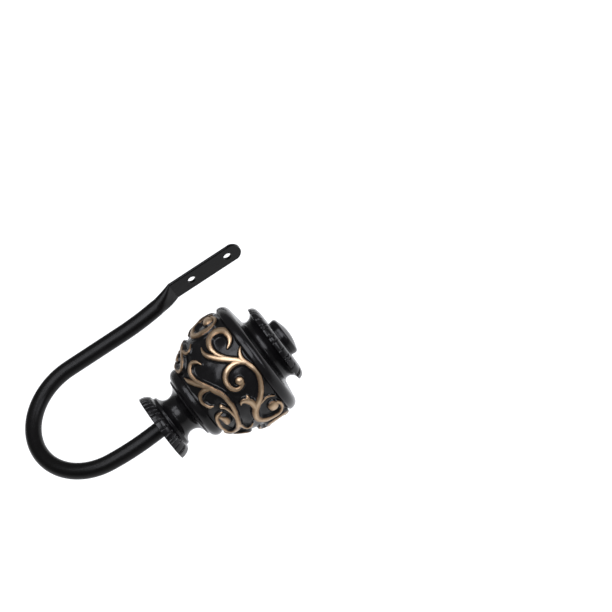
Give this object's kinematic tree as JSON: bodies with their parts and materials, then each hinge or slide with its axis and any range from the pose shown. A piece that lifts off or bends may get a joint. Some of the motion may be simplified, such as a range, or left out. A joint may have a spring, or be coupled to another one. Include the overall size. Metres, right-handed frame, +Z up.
{
  "type": "curtain holdback",
  "caption": "Hook of bent round tube with a flat wall tab with screw holes, and an urn finial with fluted rims and scroll relief, to hold a drawn curtain aside.",
  "frame": {"origin": "midway between the screw holes, on the back face of the wall tab", "axes": "+X along the tab towards its free tip, which is also about the way the finial points, toed in by about 5 degrees; +Y into the wall; +Z up"},
  "size_m": [0.1693, 0.1158, 0.073],
  "materials": {
    "black_steel": "satin black powder coat",
    "gilt_resin": "semi-gloss black resin with antique gold brushed on the raised scrolls",
    "plain_steel": "plain zinc-plated"
  },
  "bodies": {
    "root": {"hook_arm": "black_steel", "finial": "gilt_resin", "tube_insert": "plain_steel", "finial_stud": "plain_steel"}
  },
  "joints": []
}
